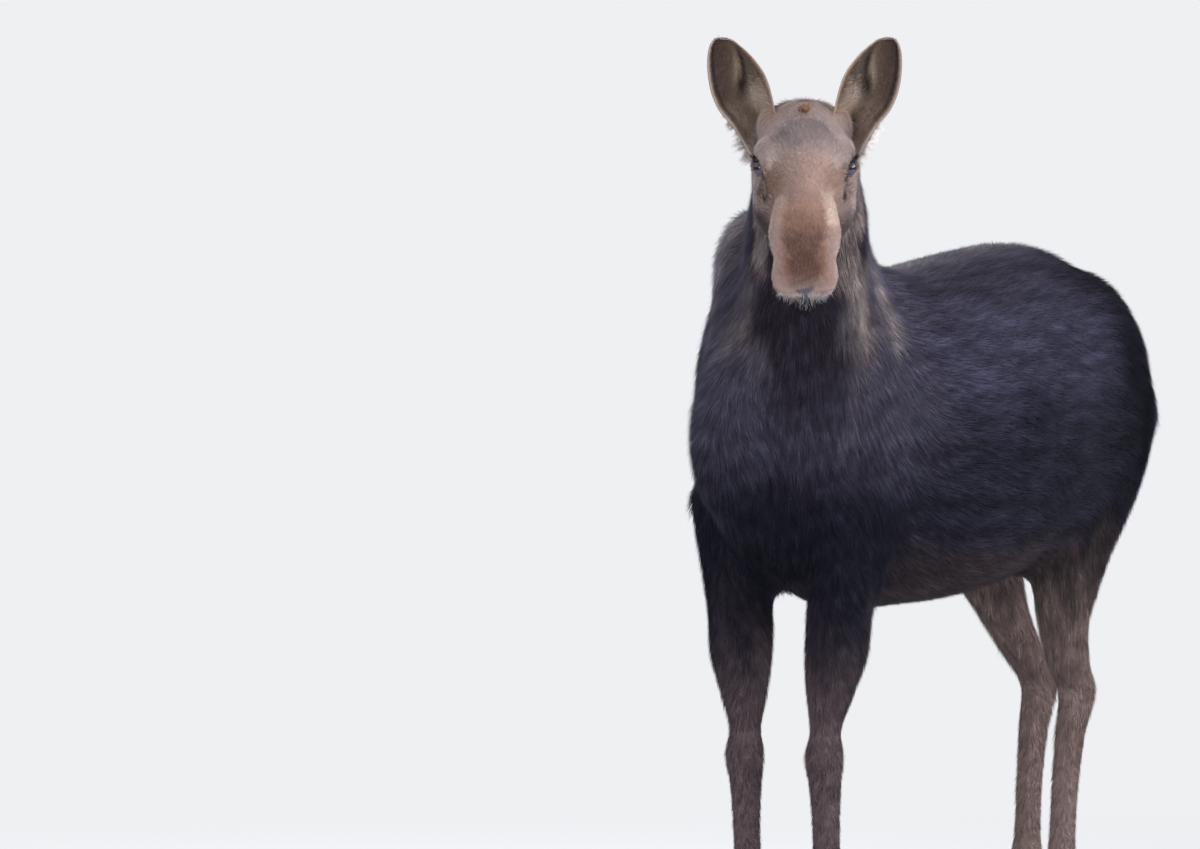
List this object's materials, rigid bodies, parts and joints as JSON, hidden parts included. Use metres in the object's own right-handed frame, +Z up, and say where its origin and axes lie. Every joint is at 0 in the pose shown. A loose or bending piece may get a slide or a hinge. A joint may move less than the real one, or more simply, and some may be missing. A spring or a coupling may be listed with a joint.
{
  "type": "moose",
  "caption": "Antlerless moose standing square with its head turned to its left, a still life-size animal model for a museum hall or a scene.",
  "frame": {"origin": "floor level, centred under the animal's bounding box", "axes": "+Z up, -Y forwards along the trunk, +X to the animal's own left"},
  "size_m": [0.8798, 2.1952, 2.1608],
  "materials": {
    "body_coat": "long coarse brown-black winter hair",
    "face_coat": "short dense brown hair",
    "leg_coat": "short grey-brown hair",
    "horn": "dull worn hoof horn",
    "eye": "wet dark eyeball"
  },
  "bodies": {
    "root": {"dewclaw_fore_left_inner": "horn", "dewclaw_fore_left_outer": "horn", "dewclaw_fore_right_inner": "horn", "dewclaw_fore_right_outer": "horn", "dewclaw_hind_left_inner": "horn", "dewclaw_hind_left_outer": "horn", "dewclaw_hind_right_inner": "horn", "dewclaw_hind_right_outer": "horn", "ear_left": "face_coat", "ear_right": "face_coat", "eye_left": "eye", "eye_right": "eye", "foreleg_lower_left": "leg_coat", "foreleg_lower_right": "leg_coat", "foreleg_upper_left": "body_coat", "foreleg_upper_right": "body_coat", "head": "face_coat", "hindleg_lower_left": "leg_coat", "hindleg_lower_right": "leg_coat", "hindleg_upper_left": "body_coat", "hindleg_upper_right": "body_coat", "hoof_fore_left_inner": "horn", "hoof_fore_left_outer": "horn", "hoof_fore_right_inner": "horn", "hoof_fore_right_outer": "horn", "hoof_hind_left_inner": "horn", "hoof_hind_left_outer": "horn", "hoof_hind_right_inner": "horn", "hoof_hind_right_outer": "horn", "neck": "body_coat", "tail": "body_coat", "trunk": "body_coat"}
  },
  "joints": []
}
